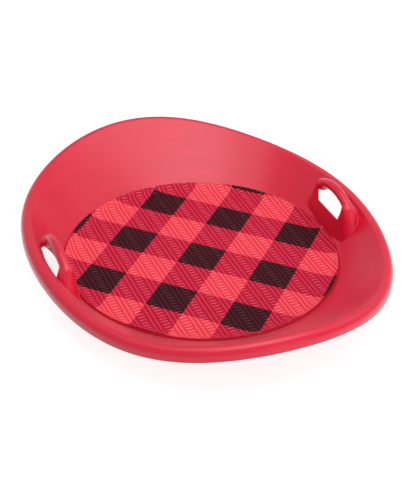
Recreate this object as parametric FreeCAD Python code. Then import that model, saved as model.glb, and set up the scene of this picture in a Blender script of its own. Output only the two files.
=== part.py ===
import FreeCAD, Part
import math
import os

# An oval saucer sled: one moulded shell with a rolled rim and two arch handles,
# and a round printed foam pad stuck to its floor. X is across, Y is along, Z is up.
# The origin is the middle of the flat underside.

# Shell
WALL = 3.2                   # thickness of the moulding
FLOOR_FLAT_RADIUS = 207.0    # round flat part of the floor
FLOOR_BEND_RADIUS = 40.0     # bend from the floor up into the wall, upper face
END_WALL_REACH = 134.8       # from the flat floor out to the middle of the rim roll, at the ends
SIDE_WALL_REACH = 72.1       # the same at the sides
RIM_SIDE_FULLNESS = 6.1      # how much the long sides are fuller than an ellipse
RIM_END_HEIGHT = 84.3        # middle of the rim roll above the ground, at the ends
RIM_SIDE_HEIGHT = 59.1       # the same at the sides
RIM_CORNER_HEIGHT = 58.9     # the same halfway round between end and side
RIM_ROLL_RADIUS = 12.0       # outside of the rim roll
RIM_SKIRT_DROP = 6.0         # straight lip that hangs below the roll
SECTIONS = 24                # radial sections that carry the shell's skin
RIM_HALF_LENGTH = FLOOR_FLAT_RADIUS + END_WALL_REACH
RIM_HALF_WIDTH = FLOOR_FLAT_RADIUS + SIDE_WALL_REACH

# Pad
PAD_TURN_UP = 21.4           # part of the pad's radius that lies on the floor's bend
PAD_BEND_CLEARANCE = 2.0     # the pad's edge bends this much tighter than the floor
GLUE_THICKNESS = 0.3
FOAM_THICKNESS = 3.0
PRINT_THICKNESS = 0.4
PAD_RADIUS = FLOOR_FLAT_RADIUS + PAD_TURN_UP
PAD_BEND_RADIUS = FLOOR_BEND_RADIUS - PAD_BEND_CLEARANCE

# Handles
PANEL_GAP = 1.6              # from the pad's top edge to the foot of the handle's panel
PANEL_LEAN = 6.3             # the panel leans out by this much from the ground to the domes
POST_BASE_RADIUS = 30.0      # round tapered post at ground level
POST_TOP_RADIUS = 12.6       # the same under its dome
POST_BASE_SPREAD = 66.0      # axis of a post from the middle of the handle, at ground level
POST_TOP_SPREAD = 46.0       # the same at the domes
POST_TOP_HEIGHT = 72.0       # middle of the dome above the ground
DOME_RADIUS = 13.5           # bulb on top of each post
GRIP_DIAMETER = 16.5         # round bar that the hand holds
GRIP_RISE = 13.0              # middle of the bar above its ends
SILL_HEIGHT = 47.5           # lower edge of the finger window above the ground
WINDOW_SILL_HALF_LENGTH = 35.0  # half of the finger window along Y, at the sill
WINDOW_DOME_INSET = 4.0      # the window's upper corners stop this far short of the domes' middles
SLOT_RIM_STRIP = 12.5        # from the finger slot's outer edge to the middle of the rim roll
SLOT_BOW = 6.5               # the slot's outer edge bows out by this much between its ends
PANEL_BASE_OUT = PAD_RADIUS + PANEL_GAP
PANEL_TOP_OUT = PANEL_BASE_OUT + PANEL_LEAN
WINDOW_TOP_HALF_LENGTH = POST_TOP_SPREAD - WINDOW_DOME_INSET
SLOT_OUT = RIM_HALF_WIDTH - SLOT_RIM_STRIP

OVERRUN = 20.0               # cuts run past what they cut by this much
UPRIGHT = FreeCAD.Vector(0, 0, 1)


def rim_point(turn):
    """Middle of the rim roll; turn 0 is the far end, a quarter turn is the right side."""
    across = (RIM_HALF_WIDTH + RIM_SIDE_FULLNESS) * math.sin(turn) + RIM_SIDE_FULLNESS * math.sin(3 * turn)
    along = RIM_HALF_LENGTH * math.cos(turn)
    ends_and_sides = (RIM_END_HEIGHT + RIM_SIDE_HEIGHT) / 2
    mean = (ends_and_sides + RIM_CORNER_HEIGHT) / 2
    corner_wave = (ends_and_sides - RIM_CORNER_HEIGHT) / 2
    end_wave = (RIM_END_HEIGHT - RIM_SIDE_HEIGHT) / 2
    height = mean + end_wave * math.cos(2 * turn) + corner_wave * math.cos(4 * turn)
    return across, along, height


class Section:
    """The wall in one upright plane through the sled's middle, as points out and up."""

    def __init__(self, turn):
        across, along, self.rim_up = rim_point(turn)
        self.rim_out = math.hypot(across, along)
        self.side = across / self.rim_out
        self.ahead = along / self.rim_out
        self.bend_up = WALL + FLOOR_BEND_RADIUS
        out = self.rim_out - FLOOR_FLAT_RADIUS
        up = self.rim_up - self.bend_up
        lean = math.atan2(up, out)
        self.slope = lean + math.asin((RIM_ROLL_RADIUS + FLOOR_BEND_RADIUS) / math.hypot(out, up))

    def place(self, out, up):
        return FreeCAD.Vector(self.side * out, self.ahead * out, up)

    def on_bend(self, radius, angle):
        """Point of the floor bend; angle 0 is its start on the flat floor."""
        out = FLOOR_FLAT_RADIUS + radius * math.sin(angle)
        return self.place(out, self.bend_up - radius * math.cos(angle))

    def on_roll(self, radius, angle):
        """Point of the rim roll; angle 0 is its top and a quarter turn its outer side."""
        out = self.rim_out + radius * math.sin(angle)
        return self.place(out, self.rim_up + radius * math.cos(angle))

    def bend_edge(self, radius):
        points = [self.on_bend(radius, self.slope * share) for share in (0, 0.5, 1)]
        return Part.Arc(*points).toShape()

    def roll_edge(self, radius):
        first = -self.slope
        last = math.pi / 2
        points = [self.on_roll(radius, angle) for angle in (first, (first + last) / 2, last)]
        return Part.Arc(*points).toShape()

    def upper_wall_edge(self):
        lower = self.on_bend(FLOOR_BEND_RADIUS, self.slope)
        return Part.makeLine(lower, self.on_roll(RIM_ROLL_RADIUS, -self.slope))

    def under_wall_edge(self):
        lower = self.on_bend(FLOOR_BEND_RADIUS + WALL, self.slope)
        return Part.makeLine(lower, self.on_roll(RIM_ROLL_RADIUS - WALL, -self.slope))

    def skin_wire(self):
        """The whole skin from the floor's upper face, over the rim and back underneath."""
        lip_up = self.rim_up - RIM_SKIRT_DROP
        roll_out = self.rim_out + RIM_ROLL_RADIUS
        lip_outer = self.place(roll_out, lip_up)
        lip_inner = self.place(roll_out - WALL, lip_up)
        return Part.Wire([
            self.bend_edge(FLOOR_BEND_RADIUS),
            self.upper_wall_edge(),
            self.roll_edge(RIM_ROLL_RADIUS),
            Part.makeLine(self.place(roll_out, self.rim_up), lip_outer),
            Part.makeLine(lip_outer, lip_inner),
            Part.makeLine(lip_inner, self.place(roll_out - WALL, self.rim_up)),
            self.roll_edge(RIM_ROLL_RADIUS - WALL),
            self.under_wall_edge(),
            self.bend_edge(FLOOR_BEND_RADIUS + WALL),
        ])

    def plug_wire(self):
        """The middle of the wall's thickness, then straight up past the rim."""
        lower = self.on_bend(FLOOR_BEND_RADIUS + WALL / 2, self.slope)
        upper = self.on_roll(RIM_ROLL_RADIUS - WALL / 2, -self.slope)
        above = FreeCAD.Vector(upper.x, upper.y, RIM_END_HEIGHT + RIM_ROLL_RADIUS + OVERRUN)
        return Part.Wire([
            self.bend_edge(FLOOR_BEND_RADIUS + WALL / 2),
            Part.makeLine(lower, upper),
            Part.makeLine(upper, above),
        ])


def closed_round(wires):
    """Solid from a ring of open sections, with a flat face over each of its two open edges."""
    skin = Part.makeLoft(wires, False, False, True)
    owners = {}
    for face in skin.Faces:
        for edge in face.Edges:
            owners.setdefault(edge.hashCode(), []).append(edge)
    open_edges = [edges[0] for edges in owners.values() if len(edges) == 1]
    lids = [Part.Face(Part.Wire([edge])) for edge in open_edges]
    shell = Part.makeShell(skin.Faces + lids)
    shell.sewShape()
    return Part.makeSolid(shell)


def at_height(low, high, up):
    """Value that runs straight from its ground value to its value at the domes."""
    return low + (high - low) * up / POST_TOP_HEIGHT


def panel_out(up):
    """Inner face of the handle, which faces the pad and touches both posts."""
    return at_height(PANEL_BASE_OUT, PANEL_TOP_OUT, up)


def post_radius(up):
    return at_height(POST_BASE_RADIUS, POST_TOP_RADIUS, up)


def post_axis(side, up):
    """Middle of one post at a height."""
    spread = at_height(POST_BASE_SPREAD, POST_TOP_SPREAD, up)
    return FreeCAD.Vector(panel_out(up) + post_radius(up), side * spread, up)


def post(side):
    """Round tapered post, still solid."""
    rings = []
    for up in (0, POST_TOP_HEIGHT):
        ring = Part.makeCircle(post_radius(up), post_axis(side, up), UPRIGHT)
        rings.append(Part.Wire([ring]))
    return Part.makeLoft(rings, True, True)


def hollow():
    """Inside of the handle, open below: it runs behind the panel and ends round in both posts."""
    outlines = []
    for up in (-OVERRUN, POST_TOP_HEIGHT - WALL):
        radius = post_radius(up) - WALL
        out = FreeCAD.Vector(radius, 0, 0)
        along = FreeCAD.Vector(0, radius, 0)
        near = post_axis(-1, up)
        far = post_axis(1, up)
        outlines.append(Part.Wire([
            Part.makeLine(near - out, far - out),
            Part.Arc(far - out, far + along, far + out).toShape(),
            Part.makeLine(far + out, near + out),
            Part.Arc(near + out, near - along, near - out).toShape(),
        ]))
    return Part.makeLoft(outlines, True, True)


def tapered_block(levels):
    """Block from rectangles at two heights: each inner and outer place, half length and height."""
    outlines = []
    for inner, outer, half, up in levels:
        corners = [(inner, -half, up), (outer, -half, up), (outer, half, up), (inner, half, up)]
        outlines.append(Part.makePolygon(corners + corners[:1]))
    return Part.makeLoft(outlines, True, True)


def panel():
    """Upright panel towards the pad, as thick as the posts reach until it is hollowed."""
    levels = []
    for up in (0, POST_TOP_HEIGHT):
        axis = post_axis(1, up)
        levels.append((panel_out(up), axis.x, axis.y, up))
    return tapered_block(levels)


def finger_slot():
    """Open way down between the posts, out to a bowed strip of wall that carries the rim."""
    base = FreeCAD.Vector(0, 0, -OVERRUN)
    ends = []
    corners = []
    for side in (-1, 1):
        axis = post_axis(side, POST_TOP_HEIGHT)
        ends.append(FreeCAD.Vector(axis.x, axis.y, 0) + base)
        corners.append(FreeCAD.Vector(SLOT_OUT - SLOT_BOW, axis.y, 0) + base)
    middle = FreeCAD.Vector(SLOT_OUT, 0, 0) + base
    outline = Part.Wire([
        Part.makeLine(ends[0], corners[0]),
        Part.Arc(corners[0], middle, corners[1]).toShape(),
        Part.makeLine(corners[1], ends[1]),
        Part.makeLine(ends[1], ends[0]),
    ])
    return Part.Face(outline).extrude(UPRIGHT * (OVERRUN + POST_TOP_HEIGHT + OVERRUN))


def finger_window():
    """Opening through the panel above its sill."""
    taper = (WINDOW_TOP_HALF_LENGTH - WINDOW_SILL_HALF_LENGTH) / (POST_TOP_HEIGHT - SILL_HEIGHT)
    top = POST_TOP_HEIGHT + OVERRUN
    levels = []
    for up in (SILL_HEIGHT, top):
        half = WINDOW_SILL_HALF_LENGTH + taper * (up - SILL_HEIGHT)
        levels.append((panel_out(up) - OVERRUN, panel_out(up) + WALL + OVERRUN, half, up))
    return tapered_block(levels)


def grip():
    """Arched round bar and the bulb on each post."""
    ends = [post_axis(side, POST_TOP_HEIGHT) for side in (-1, 1)]
    middle = FreeCAD.Vector(ends[0].x, 0, POST_TOP_HEIGHT + GRIP_RISE)
    arc = Part.Arc(ends[0], middle, ends[1]).toShape()
    start = arc.tangentAt(arc.FirstParameter)
    ring = Part.Wire([Part.makeCircle(GRIP_DIAMETER / 2, ends[0], start)])
    bar = Part.Wire([arc]).makePipeShell([ring], True, False)
    domes = [Part.makeSphere(DOME_RADIUS, end) for end in ends]
    return bar.fuse(domes)


def on_left(shape):
    return shape.mirror(FreeCAD.Vector(0, 0, 0), FreeCAD.Vector(1, 0, 0))


def saucer_shell():
    """The whole moulding: bowl, rolled rim and both handles."""
    sections = [Section(2 * math.pi * number / SECTIONS) for number in range(SECTIONS)]
    bowl = closed_round([section.skin_wire() for section in sections])
    plug = closed_round([section.plug_wire() for section in sections])
    handle = panel().cut(finger_window()).fuse([post(-1), post(1)]).common(plug)
    openings = [hollow(), finger_slot()]
    bar = grip()
    with_handles = bowl.fuse([handle, on_left(handle)])
    hollowed = with_handles.cut(openings + [on_left(opening) for opening in openings])
    return hollowed.fuse([bar, on_left(bar)])


def pad_layer(below, thickness):
    """One layer of the pad: flat in the middle, its edge bent up along the floor bend."""
    whole = GLUE_THICKNESS + FOAM_THICKNESS + PRINT_THICKNESS
    edge = math.asin((PAD_RADIUS - FLOOR_FLAT_RADIUS) / (PAD_BEND_RADIUS - whole))
    bend_up = WALL + PAD_BEND_RADIUS
    faces = []
    for depth in (below, below + thickness):
        radius = PAD_BEND_RADIUS - depth
        points = []
        for share in (0, 0.5, 1):
            angle = edge * share
            out = FLOOR_FLAT_RADIUS + radius * math.sin(angle)
            points.append(FreeCAD.Vector(out, 0, bend_up - radius * math.cos(angle)))
        faces.append(points)
    under, upper = faces
    centre_low = FreeCAD.Vector(0, 0, WALL + below)
    centre_high = FreeCAD.Vector(0, 0, WALL + below + thickness)
    outline = Part.Wire([
        Part.makeLine(centre_low, under[0]),
        Part.Arc(*under).toShape(),
        Part.makeLine(under[2], upper[2]),
        Part.Arc(*reversed(upper)).toShape(),
        Part.makeLine(upper[0], centre_high),
        Part.makeLine(centre_high, centre_low),
    ])
    return Part.Face(outline).revolve(FreeCAD.Vector(0, 0, 0), UPRIGHT, 360)


def build():
    os.makedirs("parts", exist_ok=True)
    nodes = {
        "saucer_shell": saucer_shell(),
        "pad_glue_layer": pad_layer(0, GLUE_THICKNESS),
        "pad_foam_disc": pad_layer(GLUE_THICKNESS, FOAM_THICKNESS),
        "pad_printed_skin": pad_layer(GLUE_THICKNESS + FOAM_THICKNESS, PRINT_THICKNESS),
    }
    for name, shape in nodes.items():
        box = shape.BoundBox
        print(name, "valid", shape.isValid(), "solids", len(shape.Solids), "volume", round(shape.Volume),
              "size", round(box.XLength, 1), round(box.YLength, 1), round(box.ZMin, 2), round(box.ZMax, 2))
        shape.exportStep("parts/" + name + ".step")


build()
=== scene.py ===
import math

import bmesh
import bpy
import numpy as np
from mathutils import Matrix, Vector


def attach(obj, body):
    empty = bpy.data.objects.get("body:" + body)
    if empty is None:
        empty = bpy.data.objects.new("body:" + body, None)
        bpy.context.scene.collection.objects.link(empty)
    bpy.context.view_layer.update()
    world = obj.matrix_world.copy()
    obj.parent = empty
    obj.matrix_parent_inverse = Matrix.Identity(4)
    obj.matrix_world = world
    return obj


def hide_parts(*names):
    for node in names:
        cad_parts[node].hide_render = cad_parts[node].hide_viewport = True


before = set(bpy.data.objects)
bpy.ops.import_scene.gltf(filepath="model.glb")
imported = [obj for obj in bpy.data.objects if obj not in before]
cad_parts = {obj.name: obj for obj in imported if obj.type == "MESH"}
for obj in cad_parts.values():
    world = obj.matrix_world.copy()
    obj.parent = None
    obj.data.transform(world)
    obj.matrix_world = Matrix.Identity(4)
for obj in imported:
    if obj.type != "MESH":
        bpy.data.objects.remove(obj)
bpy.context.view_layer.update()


# The bowl of the shell: flat floor, bend, sloping wall and the rim rolled over outwards.
# It is red polyethylene of one thickness. Sections stand radially, and only the wall and
# the rim change from section to section.
wall = 0.0032
floor_radius = 0.207
bend_radius = 0.040
roll_radius = 0.012
skirt_drop = 0.006
crease_radius = 0.0035
rim_width_wave = 0.2852
rim_width_third_wave = 0.0061
rim_length_wave = 0.3418
rim_mean_height = 0.0653
rim_end_lift = 0.0126
rim_corner_dip = 0.0064
turns = 240
bend_steps = 8
wall_steps = 14
crease_steps = 6
roll_steps = 14
lip_steps = 6
under_steps = 10
touching = 1e-6


def rim_roll(turn):
    """Middle of the rim roll: across, along and up. Turn 0 is the far end."""
    across = rim_width_wave * math.sin(turn) + rim_width_third_wave * math.sin(3 * turn)
    along = rim_length_wave * math.cos(turn)
    up = rim_mean_height + rim_end_lift * math.cos(2 * turn) + rim_corner_dip * math.cos(4 * turn)
    return across, along, up


def wall_slope(rim_out, rim_up):
    """Angle of the straight wall that touches both the floor's bend and the rim roll."""
    out, up = rim_out - floor_radius, rim_up - wall - bend_radius
    return math.atan2(up, out) + math.asin((roll_radius + bend_radius) / math.hypot(out, up))


def bowl_section(turn):
    """Run of points, out and up, from the middle of the floor over the rim and back underneath."""
    across, along, rim_up = rim_roll(turn)
    rim_out = math.hypot(across, along)
    slope = wall_slope(rim_out, rim_up)

    def on_bend(depth, share):
        radius = bend_radius + depth
        angle = slope * share
        return floor_radius + radius * math.sin(angle), wall + bend_radius - radius * math.cos(angle)

    def on_roll(depth, angle):
        radius = roll_radius - depth
        return rim_out + radius * math.sin(angle), rim_up + radius * math.cos(angle)

    def run(first, last, count):
        return [tuple(a + (b - a) * n / count for a, b in zip(first, last)) for n in range(1, count)]

    upper = [on_bend(0, n / bend_steps) for n in range(bend_steps + 1)]
    # The wall meets the flat top of the rim in a narrow crease, and the rim rolls over from there.
    flat = (roll_radius - crease_radius) * math.tan(slope / 2)
    crease_out, crease_up = rim_out - flat, rim_up + roll_radius - crease_radius
    crease_angles = [slope * (1 - n / crease_steps) for n in range(crease_steps + 1)]
    crease = [(crease_out - crease_radius * math.sin(angle), crease_up + crease_radius * math.cos(angle))
              for angle in crease_angles]
    upper += run(on_bend(0, 1), crease[0], wall_steps) + crease
    upper += [on_roll(0, math.pi / 2 * n / roll_steps) for n in range(roll_steps + 1)]
    lip_out, lip_up = rim_out + roll_radius - wall / 2, rim_up - skirt_drop
    lip = [(lip_out + wall / 2 * math.cos(angle), lip_up - wall / 2 * math.sin(angle))
           for angle in np.linspace(0, math.pi, lip_steps + 1)]
    under_angle = math.pi / 2 + slope
    under = [on_roll(wall, math.pi / 2 - under_angle * n / under_steps) for n in range(under_steps + 1)]
    under += run(on_roll(wall, -slope), on_bend(wall, 1), under_steps)
    under += [on_bend(wall, 1 - n / bend_steps) for n in range(bend_steps + 1)]
    floor_shares = (0, 0.5)
    return ([(floor_radius * share, wall) for share in floor_shares] + upper + lip + under
            + [(floor_radius * share, 0) for share in reversed(floor_shares)])


def bowl_mesh():
    sections = [bowl_section(2 * math.pi * n / turns) for n in range(turns)]
    bm = bmesh.new()
    # One straight run of stations is spun into rings, whose points are then set on their sections.
    line = [bm.verts.new((1 + n, 0, 0)) for n in range(len(sections[0]))]
    for a, b in zip(line, line[1:]):
        bm.edges.new((a, b))
    bmesh.ops.spin(bm, geom=bm.verts[:] + bm.edges[:], cent=(0, 0, 0), axis=(0, 0, 1),
                   angle=2 * math.pi, steps=turns, use_merge=True)
    for vert in bm.verts:
        station = round(math.hypot(vert.co.x, vert.co.y)) - 1
        number = round(math.atan2(vert.co.y, vert.co.x) / (2 * math.pi) * turns) % turns
        out, up = sections[number][station]
        across, along, _ = rim_roll(2 * math.pi * number / turns)
        reach = math.hypot(across, along)
        vert.co = (out * across / reach, out * along / reach, up)
    bmesh.ops.remove_doubles(bm, verts=bm.verts[:], dist=touching)
    bmesh.ops.recalc_face_normals(bm, faces=bm.faces[:])
    return bm


# The handles: on each side a thin shell like an arch, with a panel towards the pad, a round tapered
# post at each end and a grip that swells into a bulb on each post. They are moulded in one with the
# bowl, whose wall is open behind the panel so that the fingers pass under the grip.
post_top = 0.072
post_radius = (0.030, 0.0123)
post_spread = (0.066, 0.046)
panel_face = (0.2300, 0.2363)
grip_radius = 0.00825
grip_rise = 0.013
grip_swell = 0.08
swell_start = 0.028
swell_length = 0.018
sill = 0.0475
window_half = (0.035, 0.042)
slot_out = 0.2666
slot_bow = 0.0065
overrun = 0.02
arc_points = 25
grip_points = 32
grip_steps = 28
voxel = 0.00125
smoothings = 7
quarter_steps = 90


def lean(pair, up):
    """Value at a height, from its values at the ground and at the top of the posts."""
    return pair[0] + (pair[1] - pair[0]) * up / post_top


def moved_into(bm, part):
    """Adds a finished part to a mesh in the making."""
    mesh = bpy.data.meshes.new("part")
    part.to_mesh(mesh)
    part.free()
    bm.from_mesh(mesh)
    bpy.data.meshes.remove(mesh)


def mirrored(part):
    """The same part on the other side."""
    bmesh.ops.scale(part, vec=(-1, 1, 1), verts=part.verts[:])
    bmesh.ops.reverse_faces(part, faces=part.faces[:])
    return part


def linked_piece(bm, name, sharp_degrees):
    """Object made of a finished mesh, smooth but for the edges that are sharper than an angle."""
    for face in bm.faces:
        face.smooth = True
    mesh = bpy.data.meshes.new(name)
    bm.to_mesh(mesh)
    bm.free()
    mesh.set_sharp_from_angle(angle=math.radians(sharp_degrees))
    piece = bpy.data.objects.new(name, mesh)
    bpy.context.scene.collection.objects.link(piece)
    return piece


def upright(outlines):
    """Solid between two outlines with as many points each, the lower one first."""
    part = bmesh.new()
    rings = [[part.verts.new(point) for point in outline] for outline in outlines]
    edges = [part.edges.new((ring[n - 1], ring[n])) for ring in rings for n in range(len(ring))]
    bmesh.ops.bridge_loops(part, edges=edges)
    for ring in rings:
        part.faces.new(ring)
    bmesh.ops.recalc_face_normals(part, faces=part.faces[:])
    return part


def arc(middle_across, middle_along, radius, first, last):
    """Plan points round a middle; angles are counted from straight out towards the far end."""
    angles = np.linspace(first, last, arc_points)
    return [(middle_across + radius * math.cos(a), middle_along + radius * math.sin(a)) for a in angles]


def post(end):
    levels = []
    for up in (0, post_top):
        radius = lean(post_radius, up)
        ring = arc(lean(panel_face, up) + radius, end * lean(post_spread, up), radius, 0, 2 * math.pi)[:-1]
        levels.append([(across, along, up) for across, along in ring])
    return upright(levels)


def hollow():
    """Inside of the handle: it runs behind the panel and ends round in both posts."""
    levels = []
    for up in (-overrun, post_top - wall):
        radius = lean(post_radius, up) - wall
        across = lean(panel_face, up) + wall + radius
        along = lean(post_spread, up)
        ring = arc(across, along, radius, 0, math.pi) + arc(across, -along, radius, math.pi, 2 * math.pi)
        levels.append([(x, y, up) for x, y in ring])
    return upright(levels)


def finger_slot():
    """Open way down between the posts, out to a bowed strip of wall."""
    across, along = panel_face[1] + post_radius[1], post_spread[1]
    bow = (along * along + slot_bow * slot_bow) / (2 * slot_bow)
    half = math.asin(along / bow)
    ring = arc(slot_out - bow, 0, bow, -half, half) + [(across, along), (across, -along)]
    return upright([[(x, y, up) for x, y in ring] for up in (-overrun, post_top + overrun)])


def slab(levels):
    """Upright block between two rectangles: inner and outer place, half length, height."""
    return upright([[(inner, -half, up), (outer, -half, up), (outer, half, up), (inner, half, up)]
                    for inner, outer, half, up in levels])


def evaluated(bm, name, *modifiers):
    """Mesh of a scratch object after its modifiers; each is a kind and its settings."""
    mesh = bpy.data.meshes.new(name)
    bm.to_mesh(mesh)
    bm.free()
    obj = bpy.data.objects.new(name, mesh)
    bpy.context.scene.collection.objects.link(obj)
    for kind, settings in modifiers:
        modifier = obj.modifiers.new(kind, kind)
        for key, value in settings.items():
            setattr(modifier, key, value)
    result = bpy.data.meshes.new_from_object(obj.evaluated_get(bpy.context.evaluated_depsgraph_get()))
    bpy.data.objects.remove(obj)
    return result


def cut_out(bm, taken):
    """A mesh less what is taken out of it."""
    mesh = bpy.data.meshes.new("taken")
    taken.to_mesh(mesh)
    taken.free()
    tool = bpy.data.objects.new("taken", mesh)
    bpy.context.scene.collection.objects.link(tool)
    settings = {"operation": "DIFFERENCE", "object": tool, "solver": "EXACT", "use_self": True}
    result = bmesh.new()
    result.from_mesh(evaluated(bm, "solid", ("BOOLEAN", settings)))
    bpy.data.objects.remove(tool)
    return result


def wall_middle(across, along, bearings, bearing_turns):
    """Point in the middle of the bowl's wall over a place in plan, not past the start of the rim roll."""
    turn = np.interp(math.atan2(abs(across), abs(along)), bearings, bearing_turns)
    roll_across, roll_along, rim_up = rim_roll(turn)
    rim_out = math.hypot(roll_across, roll_along)
    slope = wall_slope(rim_out, rim_up)
    radius = bend_radius + wall / 2
    reach = math.hypot(across, along)
    kept = min(reach, rim_out - roll_radius * math.sin(slope))
    out = kept - floor_radius
    bend_out = radius * math.sin(slope)
    if out <= 0:
        up = wall / 2
    elif out < bend_out:
        up = wall + bend_radius - math.sqrt(radius * radius - out * out)
    else:
        up = wall + bend_radius - radius * math.cos(slope) + (out - bend_out) * math.tan(slope)
    return Vector((across * kept / reach, along * kept / reach, up))


def openings():
    """What is taken out of the right side: the handle's hollow and the finger slot."""
    bm = hollow()
    moved_into(bm, finger_slot())
    return bm


def handle_mesh():
    """The right handle as one smooth skin."""
    bm = slab([(lean(panel_face, up), lean(panel_face, up) + lean(post_radius, up),
                lean(post_spread, up), up) for up in (0, post_top)])
    for end in (-1, 1):
        moved_into(bm, post(end))
    taken = openings()
    flare = (window_half[1] - window_half[0]) / (post_top - sill)
    window = [(panel_face[0] - overrun, panel_face[1] + overrun, window_half[0] + flare * (up - sill), up)
              for up in (sill, post_top + overrun)]
    moved_into(taken, slab(window))
    bm = cut_out(bm, taken)
    # A bulb leans with its post and touches the taper all round, so that the two make one drop.
    taper = math.atan((post_radius[0] - post_radius[1]) / post_top)
    bulb_up = post_top - post_radius[1] * math.tan(taper)
    for end in (-1, 1):
        bulb = bmesh.new()
        bmesh.ops.create_icosphere(bulb, subdivisions=4, radius=post_radius[1] / math.cos(taper))
        for vert in bulb.verts:
            up = bulb_up + vert.co.z
            across = lean(panel_face, up) + lean(post_radius, up)
            vert.co += Vector((across, end * lean(post_spread, up), bulb_up))
        moved_into(bm, bulb)
    # The grip is a ring spun along its arch, swollen towards the bulbs.
    half = post_spread[1]
    arch = (half * half + grip_rise * grip_rise) / (2 * grip_rise)
    sweep = math.asin(half / arch)
    middle = Vector((lean(panel_face, post_top) + post_radius[1], 0, post_top + grip_rise - arch))
    bar = bmesh.new()
    ring = bmesh.ops.create_circle(bar, cap_ends=True, radius=grip_radius, segments=grip_points)["verts"]
    bmesh.ops.rotate(bar, cent=(0, 0, 0), matrix=Matrix.Rotation(math.pi / 2, 3, "X"), verts=ring)
    bmesh.ops.translate(bar, vec=middle + Vector((0, 0, arch)), verts=ring)
    bmesh.ops.rotate(bar, cent=middle, matrix=Matrix.Rotation(sweep, 3, "X"), verts=ring)
    bmesh.ops.spin(bar, geom=bar.faces[:] + bar.edges[:] + ring, cent=middle, axis=(1, 0, 0),
                   angle=-2 * sweep, steps=grip_steps)
    for vert in bar.verts:
        offset = vert.co - middle
        angle = math.atan2(offset.y, offset.z)
        spine = middle + Vector((0, math.sin(angle), math.cos(angle))) * arch
        near = min(1, max(0, (abs(spine.y) - swell_start) / swell_length))
        vert.co = spine + (vert.co - spine) * (1 + grip_swell * near * near * (3 - 2 * near))
    moved_into(bm, bar)
    bmesh.ops.recalc_face_normals(bm, faces=bm.faces[:])
    mesh = evaluated(bm, "handle", ("REMESH", {"mode": "VOXEL", "voxel_size": voxel}),
                     ("SMOOTH", {"factor": 0.5, "iterations": smoothings}))
    # What would stand out under the bowl is folded into the middle of the bowl's wall.
    bearing_turns = [math.pi / 2 * n / quarter_steps for n in range(quarter_steps + 1)]
    bearings = [math.atan2(*rim_roll(turn)[:2]) for turn in bearing_turns]
    for vert in mesh.vertices:
        place = wall_middle(vert.co.x, vert.co.y, bearings, bearing_turns)
        if vert.co.z < place.z:
            vert.co = place
    return mesh


right_handle = handle_mesh()
both_openings = openings()
moved_into(both_openings, mirrored(openings()))
whole = cut_out(bowl_mesh(), both_openings)
whole.from_mesh(right_handle)
left_handle = bmesh.new()
left_handle.from_mesh(right_handle)
moved_into(whole, mirrored(left_handle))
shell = linked_piece(whole, "shell", sharp_degrees=35)

plastic = bpy.data.materials.new("red polyethylene")
plastic.use_nodes = True
nodes, links = plastic.node_tree.nodes, plastic.node_tree.links
surface = nodes["Principled BSDF"]
surface.inputs["Specular IOR Level"].default_value = 0.62
surface.inputs["Sheen Weight"].default_value = 0.16
surface.inputs["Sheen Roughness"].default_value = 0.33
place = nodes.new("ShaderNodeTexCoord")
flow = nodes.new("ShaderNodeTexNoise")
flow.inputs["Scale"].default_value = 14
flow.inputs["Detail"].default_value = 6
stretch = nodes.new("ShaderNodeMapping")
stretch.inputs["Scale"].default_value = (1, 1, 6)
links.new(place.outputs["Object"], stretch.inputs["Vector"])
links.new(stretch.outputs["Vector"], flow.inputs["Vector"])
tint = nodes.new("ShaderNodeValToRGB")
tint.color_ramp.elements[0].position = 0.3
tint.color_ramp.elements[0].color = (0.66, 0.0009, 0.031, 1)
tint.color_ramp.elements[1].position = 0.7
tint.color_ramp.elements[1].color = (0.72, 0.0018, 0.036, 1)
links.new(flow.outputs["Fac"], tint.inputs["Fac"])
links.new(tint.outputs["Color"], surface.inputs["Base Color"])
rough = nodes.new("ShaderNodeMapRange")
rough.inputs["To Min"].default_value = 0.27
rough.inputs["To Max"].default_value = 0.29
links.new(flow.outputs["Fac"], rough.inputs["Value"])
links.new(rough.outputs["Result"], surface.inputs["Roughness"])
grain = nodes.new("ShaderNodeTexNoise")
grain.inputs["Scale"].default_value = 900
links.new(place.outputs["Object"], grain.inputs["Vector"])
bump = nodes.new("ShaderNodeBump")
bump.inputs["Strength"].default_value = 0.05
bump.inputs["Distance"].default_value = 0.0003
links.new(grain.outputs["Fac"], bump.inputs["Height"])
rounding = nodes.new("ShaderNodeBevel")
rounding.samples = 12
rounding.inputs["Radius"].default_value = 0.002
links.new(rounding.outputs["Normal"], bump.inputs["Normal"])
links.new(bump.outputs["Normal"], surface.inputs["Normal"])
shell.data.materials.append(plastic)
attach(shell, "root")
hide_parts("saucer_shell")


# The pad's foam: a disc of red closed-cell foam, cut square at its edge, stuck to the floor with
# its edge turned up on the bend.
pad_flat = 0.207
pad_edge = 0.2284
glue = 0.0003
foam = 0.0030
print_skin = 0.0004
pad_bend = 0.038
edge_angle = math.asin((pad_edge - pad_flat) / (pad_bend - glue - foam - print_skin))
pad_reach = pad_flat + pad_bend * edge_angle
middle_ring = 0.1
edge_hollow = 0.0002
pad_bend_steps = 12
pad_turns = 180


def on_pad(reach, depth):
    """Out and up of a pad point: reach is measured along the glue face from the middle."""
    if reach <= pad_flat:
        return reach, wall + depth
    angle = (reach - pad_flat) / pad_bend
    radius = pad_bend - depth
    return pad_flat + radius * math.sin(angle), wall + pad_bend - radius * math.cos(angle)


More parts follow.
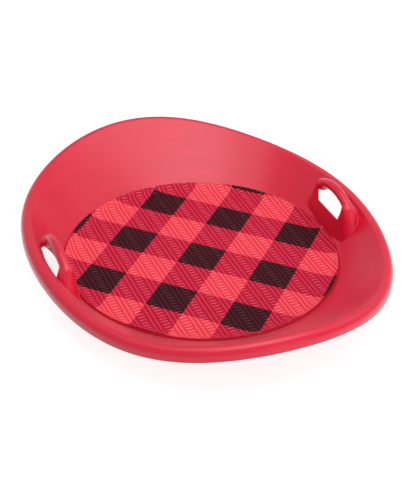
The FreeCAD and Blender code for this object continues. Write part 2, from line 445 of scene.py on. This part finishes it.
bm = bmesh.new()
bends = [pad_flat + (pad_reach - pad_flat) * n / pad_bend_steps for n in range(pad_bend_steps + 1)]
profile = [on_pad(reach, glue) for reach in [0, middle_ring] + bends]
profile += [on_pad(pad_reach - edge_hollow, glue + foam * share) for share in (0.15, 0.5, 0.85)]
profile += [on_pad(reach, glue + foam) for reach in bends[::-1] + [middle_ring, 0]]
line = [bm.verts.new((out, 0, up)) for out, up in profile]
edges = [bm.edges.new(pair) for pair in zip(line, line[1:])]
bmesh.ops.spin(bm, geom=line + edges, cent=(0, 0, 0), axis=(0, 0, 1),
               angle=2 * math.pi, steps=pad_turns, use_merge=True)
bmesh.ops.remove_doubles(bm, verts=bm.verts[:], dist=touching)
bmesh.ops.recalc_face_normals(bm, faces=bm.faces[:])
pad_foam = linked_piece(bm, "pad_foam", sharp_degrees=40)

cells = bpy.data.materials.new("red foam")
cells.use_nodes = True
nodes, links = cells.node_tree.nodes, cells.node_tree.links
surface = nodes["Principled BSDF"]
surface.inputs["Roughness"].default_value = 0.85
surface.inputs["Specular IOR Level"].default_value = 0.2
place = nodes.new("ShaderNodeTexCoord")
pores = nodes.new("ShaderNodeTexVoronoi")
pores.inputs["Scale"].default_value = 1600
links.new(place.outputs["Object"], pores.inputs["Vector"])
tint = nodes.new("ShaderNodeValToRGB")
tint.color_ramp.elements[0].color = (0.42, 0.003, 0.017, 1)
tint.color_ramp.elements[1].color = (0.70, 0.008, 0.031, 1)
links.new(pores.outputs["Distance"], tint.inputs["Fac"])
links.new(tint.outputs["Color"], surface.inputs["Base Color"])
bump = nodes.new("ShaderNodeBump")
bump.inputs["Strength"].default_value = 0.4
bump.inputs["Distance"].default_value = 0.0003
links.new(pores.outputs["Distance"], bump.inputs["Height"])
links.new(bump.outputs["Normal"], surface.inputs["Normal"])
pad_foam.data.materials.append(cells)
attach(pad_foam, "root")
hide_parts("pad_foam_disc")


# The pad's printed skin: a thin sheet on the foam, printed with a buffalo check that stands on its
# corners. It is embossed with columns of short ribs, and two long ridges between the columns.
check = 0.0635
pitch = 0.0075
repeat = 4 * pitch
column_shift = 0.0026
rib_half = 0.0056
rib_shift = 0.08 * pitch
rib_sharpness = 1.4
ridge_share = 0.85
ridge_sharpness = 1.6
relief = 0.0009
print_base = print_skin / 4
edge_fade = 0.002
across_step = pitch / 6
along_step = pitch / 5
kept_past_edge = 0.7 * along_step
bright_red = (0.98, 0.060, 0.086, 1)
dark_red = (0.59, 0.009, 0.044, 1)
near_black = (0.048, 0.0026, 0.007, 1)
# Colour of the painted glint on the ribs' crests.
glint_colour = (0.46, 0.33, 0.39)
palest = (0.98, 0.98, 0.98)


def set_on_pad(vert, reach, depth):
    """Moves a point of the sheet to a reach and a depth on the pad, on its own bearing."""
    out, up = on_pad(reach, depth)
    turn = math.atan2(vert.co.x, vert.co.y)
    vert.co = (out * math.sin(turn), out * math.cos(turn), up)


def open_edges(bm):
    return [edge for edge in bm.edges if edge.is_boundary]


def maths(tree, operation, *terms):
    """Output of a new maths node; each term is a number or the output of another node."""
    node = tree.nodes.new("ShaderNodeMath")
    node.operation = operation
    for socket, term in zip(node.inputs, terms):
        if isinstance(term, bpy.types.NodeSocket):
            tree.links.new(term, socket)
        else:
            socket.default_value = term
    return node.outputs[0]


bm = bmesh.new()
across_count = math.ceil((pad_reach + column_shift) / across_step) + 1
along_count = math.ceil(pad_reach / along_step) + 1
bmesh.ops.create_grid(bm, x_segments=2 * across_count, y_segments=2 * along_count, size=1)
bmesh.ops.scale(bm, vec=(across_count * across_step, along_count * along_step, 1), verts=bm.verts[:])
bmesh.ops.translate(bm, vec=(-column_shift, 0, 0), verts=bm.verts[:])
far = [vert for vert in bm.verts if vert.co.length > pad_reach + kept_past_edge]
bmesh.ops.delete(bm, geom=far, context="VERTS")
ridge = bm.verts.layers.float.new("ridge")
for vert in bm.verts:
    across, along = vert.co.x, vert.co.y
    reach = min(vert.co.length, pad_reach)
    # The side is the distance from the middle of the nearest column of ribs.
    side = abs((across + column_shift + repeat / 2) % repeat - repeat / 2)
    if side < pitch:
        wave = 0.5 + 0.5 * math.cos(2 * math.pi * (along + rib_shift) / pitch)
        height = wave ** rib_sharpness * min(1, (pitch - side) / (pitch - rib_half))
    else:
        wave = 0.5 - 0.5 * math.cos(2 * math.pi * side / pitch)
        height = ridge_share * wave ** ridge_sharpness
    vert[ridge] = height
    fade = min(1, (pad_reach - reach) / edge_fade)
    set_on_pad(vert, reach, glue + foam + print_base + relief * height * fade)
# The smooth back lies on the foam: the sheet's edge is turned under, ring by ring, and closed.
for reach in bends[::-3]:
    bmesh.ops.extrude_edge_only(bm, edges=open_edges(bm))
    for vert in {vert for edge in open_edges(bm) for vert in edge.verts}:
        set_on_pad(vert, reach, glue + foam)
bmesh.ops.holes_fill(bm, edges=open_edges(bm))
bmesh.ops.recalc_face_normals(bm, faces=bm.faces[:])
pad_skin = linked_piece(bm, "pad_skin", sharp_degrees=80)

printed = bpy.data.materials.new("printed check")
printed.use_nodes = True
tree = printed.node_tree
nodes, links = tree.nodes, tree.links
surface = nodes["Principled BSDF"]
surface.inputs["Roughness"].default_value = 0.6
surface.inputs["Specular IOR Level"].default_value = 0.10
place = nodes.new("ShaderNodeTexCoord")
turned = nodes.new("ShaderNodeMapping")
turned.inputs["Rotation"].default_value = (0, 0, math.radians(45))
turned.inputs["Scale"].default_value = (1 / check, 1 / check, 1)
links.new(place.outputs["Object"], turned.inputs["Vector"])
split = nodes.new("ShaderNodeSeparateXYZ")
links.new(turned.outputs["Vector"], split.inputs["Vector"])
# Stripes of one check and gaps of one check run both ways. Where two stripes cross it is darkest.
stripes = []
for axis in ("X", "Y"):
    share = maths(tree, "FRACT", maths(tree, "MULTIPLY_ADD", split.outputs[axis], 0.5, 0.25))
    stripes.append(maths(tree, "LESS_THAN", share, 0.5))
total = maths(tree, "MULTIPLY_ADD", stripes[0], 1 / 3, maths(tree, "MULTIPLY", stripes[1], 1 / 3))
colours = nodes.new("ShaderNodeValToRGB")
colours.color_ramp.interpolation = "CONSTANT"
colours.color_ramp.elements[0].position = 0.0
colours.color_ramp.elements[0].color = bright_red
colours.color_ramp.elements[1].position = 0.2
colours.color_ramp.elements[1].color = dark_red
colours.color_ramp.elements.new(0.5).color = near_black
links.new(total, colours.inputs["Fac"])
# Painted shade and light: the print is darkened in the grooves and lightened on the ribs, and patches of
# the ribs' crests get a painted pale glint.
rib = nodes.new("ShaderNodeAttribute")
rib.attribute_name = "ridge"
groove_shade = nodes.new("ShaderNodeMapRange")
groove_shade.inputs["To Min"].default_value = 0.78
groove_shade.inputs["To Max"].default_value = 1.16
links.new(rib.outputs["Fac"], groove_shade.inputs["Value"])
shaded = nodes.new("ShaderNodeVectorMath")
shaded.operation = "SCALE"
links.new(colours.outputs["Color"], shaded.inputs[0])
links.new(groove_shade.outputs["Result"], shaded.inputs["Scale"])
patches = nodes.new("ShaderNodeTexNoise")
patches.inputs["Scale"].default_value = 260
patches.inputs["Detail"].default_value = 4
links.new(place.outputs["Object"], patches.inputs["Vector"])
crest = nodes.new("ShaderNodeMapRange")
crest.inputs["From Min"].default_value = 0.6
links.new(rib.outputs["Fac"], crest.inputs["Value"])
inked = nodes.new("ShaderNodeMapRange")
inked.inputs["From Max"].default_value = 2 / 3
inked.inputs["To Min"].default_value = 1.0
inked.inputs["To Max"].default_value = 0.25
links.new(total, inked.inputs["Value"])
# Painted highlight: pale glints on patches of the ribs' crests, fainter on the darker print.
glint = maths(tree, "MULTIPLY", crest.outputs["Result"], patches.outputs["Fac"])
pale = maths(tree, "MULTIPLY", glint, inked.outputs["Result"])
glinted = nodes.new("ShaderNodeVectorMath")
glinted.operation = "MULTIPLY_ADD"
glinted.inputs[1].default_value = glint_colour
links.new(pale, glinted.inputs[0])
links.new(shaded.outputs["Vector"], glinted.inputs[2])
capped = nodes.new("ShaderNodeVectorMath")
capped.operation = "MINIMUM"
capped.inputs[1].default_value = palest
links.new(glinted.outputs["Vector"], capped.inputs[0])
links.new(capped.outputs["Vector"], surface.inputs["Base Color"])
pad_skin.data.materials.append(printed)
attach(pad_skin, "root")
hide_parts("pad_printed_skin")


# The glue film under the foam, of which only a hair line could show at the edge. The solid's own
# mesh stands for it and is given a material here.
film = bpy.data.materials.new("glue film")
film.use_nodes = True
nodes, links = film.node_tree.nodes, film.node_tree.links
surface = nodes["Principled BSDF"]
surface.inputs["Roughness"].default_value = 0.4
cloud = nodes.new("ShaderNodeTexNoise")
cloud.inputs["Scale"].default_value = 120
place = nodes.new("ShaderNodeTexCoord")
links.new(place.outputs["Object"], cloud.inputs["Vector"])
tint = nodes.new("ShaderNodeValToRGB")
tint.color_ramp.elements[0].color = (0.28, 0.014, 0.022, 1)
tint.color_ramp.elements[1].color = (0.39, 0.022, 0.031, 1)
links.new(cloud.outputs["Fac"], tint.inputs["Fac"])
links.new(tint.outputs["Color"], surface.inputs["Base Color"])
glue_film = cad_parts["pad_glue_layer"]
glue_film.data.materials.clear()
glue_film.data.materials.append(film)


# Floor of the studio: grey paper that takes light and shadow. Rays that look at it, straight or by
# a mirror, get a lift to white, which lights nothing else.
floor_half = 6
floor_gap = 0.0005
floor_lift = 0.80
bm = bmesh.new()
bmesh.ops.create_grid(bm, x_segments=1, y_segments=1, size=floor_half)
floor_mesh = bpy.data.meshes.new("floor")
bm.to_mesh(floor_mesh)
bm.free()
floor = bpy.data.objects.new("floor", floor_mesh)
floor.location.z = -floor_gap
bpy.context.scene.collection.objects.link(floor)
paper = bpy.data.materials.new("white paper")
paper.use_nodes = True
tree = paper.node_tree
surface = tree.nodes["Principled BSDF"]
surface.inputs["Base Color"].default_value = (0.45, 0.45, 0.45, 1)
surface.inputs["Emission Color"].default_value = (1, 1, 1, 1)
surface.inputs["Roughness"].default_value = 0.9
ray = tree.nodes.new("ShaderNodeLightPath")
direct = maths(tree, "MAXIMUM", ray.outputs["Is Camera Ray"], ray.outputs["Is Glossy Ray"])
seen = maths(tree, "MAXIMUM", direct, ray.outputs["Is Transmission Ray"])
tree.links.new(maths(tree, "MULTIPLY", seen, floor_lift), surface.inputs["Emission Strength"])
floor_mesh.materials.append(paper)

# Light of the studio: a white surrounding and four lamps that face the sled. The front lamp would
# draw a streak down the posts, so it is left out of mirror reflections.
world = bpy.data.worlds.new("studio")
bpy.context.scene.world = world
world.use_nodes = True
world.node_tree.nodes["Background"].inputs["Color"].default_value = (1, 1, 1, 1)
world.node_tree.nodes["Background"].inputs["Strength"].default_value = 0.55
target = Vector((0, 0, 0))
for name, spot, size, power in (
    ("overhead", (0, 0, 2.3), 2.2, 17.5),
    ("right", (1.6, -0.3, 1.8), 2.0, 6),
    ("front", (0.5, -2.3, 0.6), 1.2, 22),
    ("key", (0.1, -0.4, 2.2), 1.1, 5),
):
    data = bpy.data.lights.new(name, "AREA")
    data.size = size
    data.energy = power
    lamp = bpy.data.objects.new(name, data)
    lamp.visible_glossy = name != "front"
    facing = (target - Vector(spot)).to_track_quat("-Z", "Y").to_matrix().to_4x4()
    lamp.matrix_world = Matrix.Translation(spot) @ facing
    bpy.context.scene.collection.objects.link(lamp)

# The camera as fitted to the photograph: its angles, the place it looks at and its distance, both
# counted in checks of the pad, and its focal length in pixels of a picture 480 pixels high.
azimuth, elevation, roll = (math.radians(angle) for angle in (-23.9925, 33.9675, 1.778))
aim_checks = (0.4554, 0.6525)
aim_height = 0.0069
distance_checks = 30.6836
focal_pixels = 1132.4645
picture_pixels = 480
sensor = 36
back = Vector((math.sin(azimuth) * math.cos(elevation),
               -math.cos(azimuth) * math.cos(elevation), math.sin(elevation)))
level = (-back).cross(Vector((0, 0, 1))).normalized()
steep = level.cross(-back)
right = math.cos(roll) * level + math.sin(roll) * steep
top = -math.sin(roll) * level + math.cos(roll) * steep
aim = Vector((aim_checks[0] * check, aim_checks[1] * check, aim_height))
lens = bpy.data.cameras.new("camera")
lens.sensor_width = sensor
lens.lens = focal_pixels * sensor / picture_pixels
camera = bpy.data.objects.new("camera", lens)
camera.matrix_world = Matrix((right, top, back)).transposed().to_4x4()
camera.matrix_world.translation = aim + back * distance_checks * check
bpy.context.scene.collection.objects.link(camera)
bpy.context.scene.camera = camera
bpy.context.scene.view_settings.view_transform = "Standard"
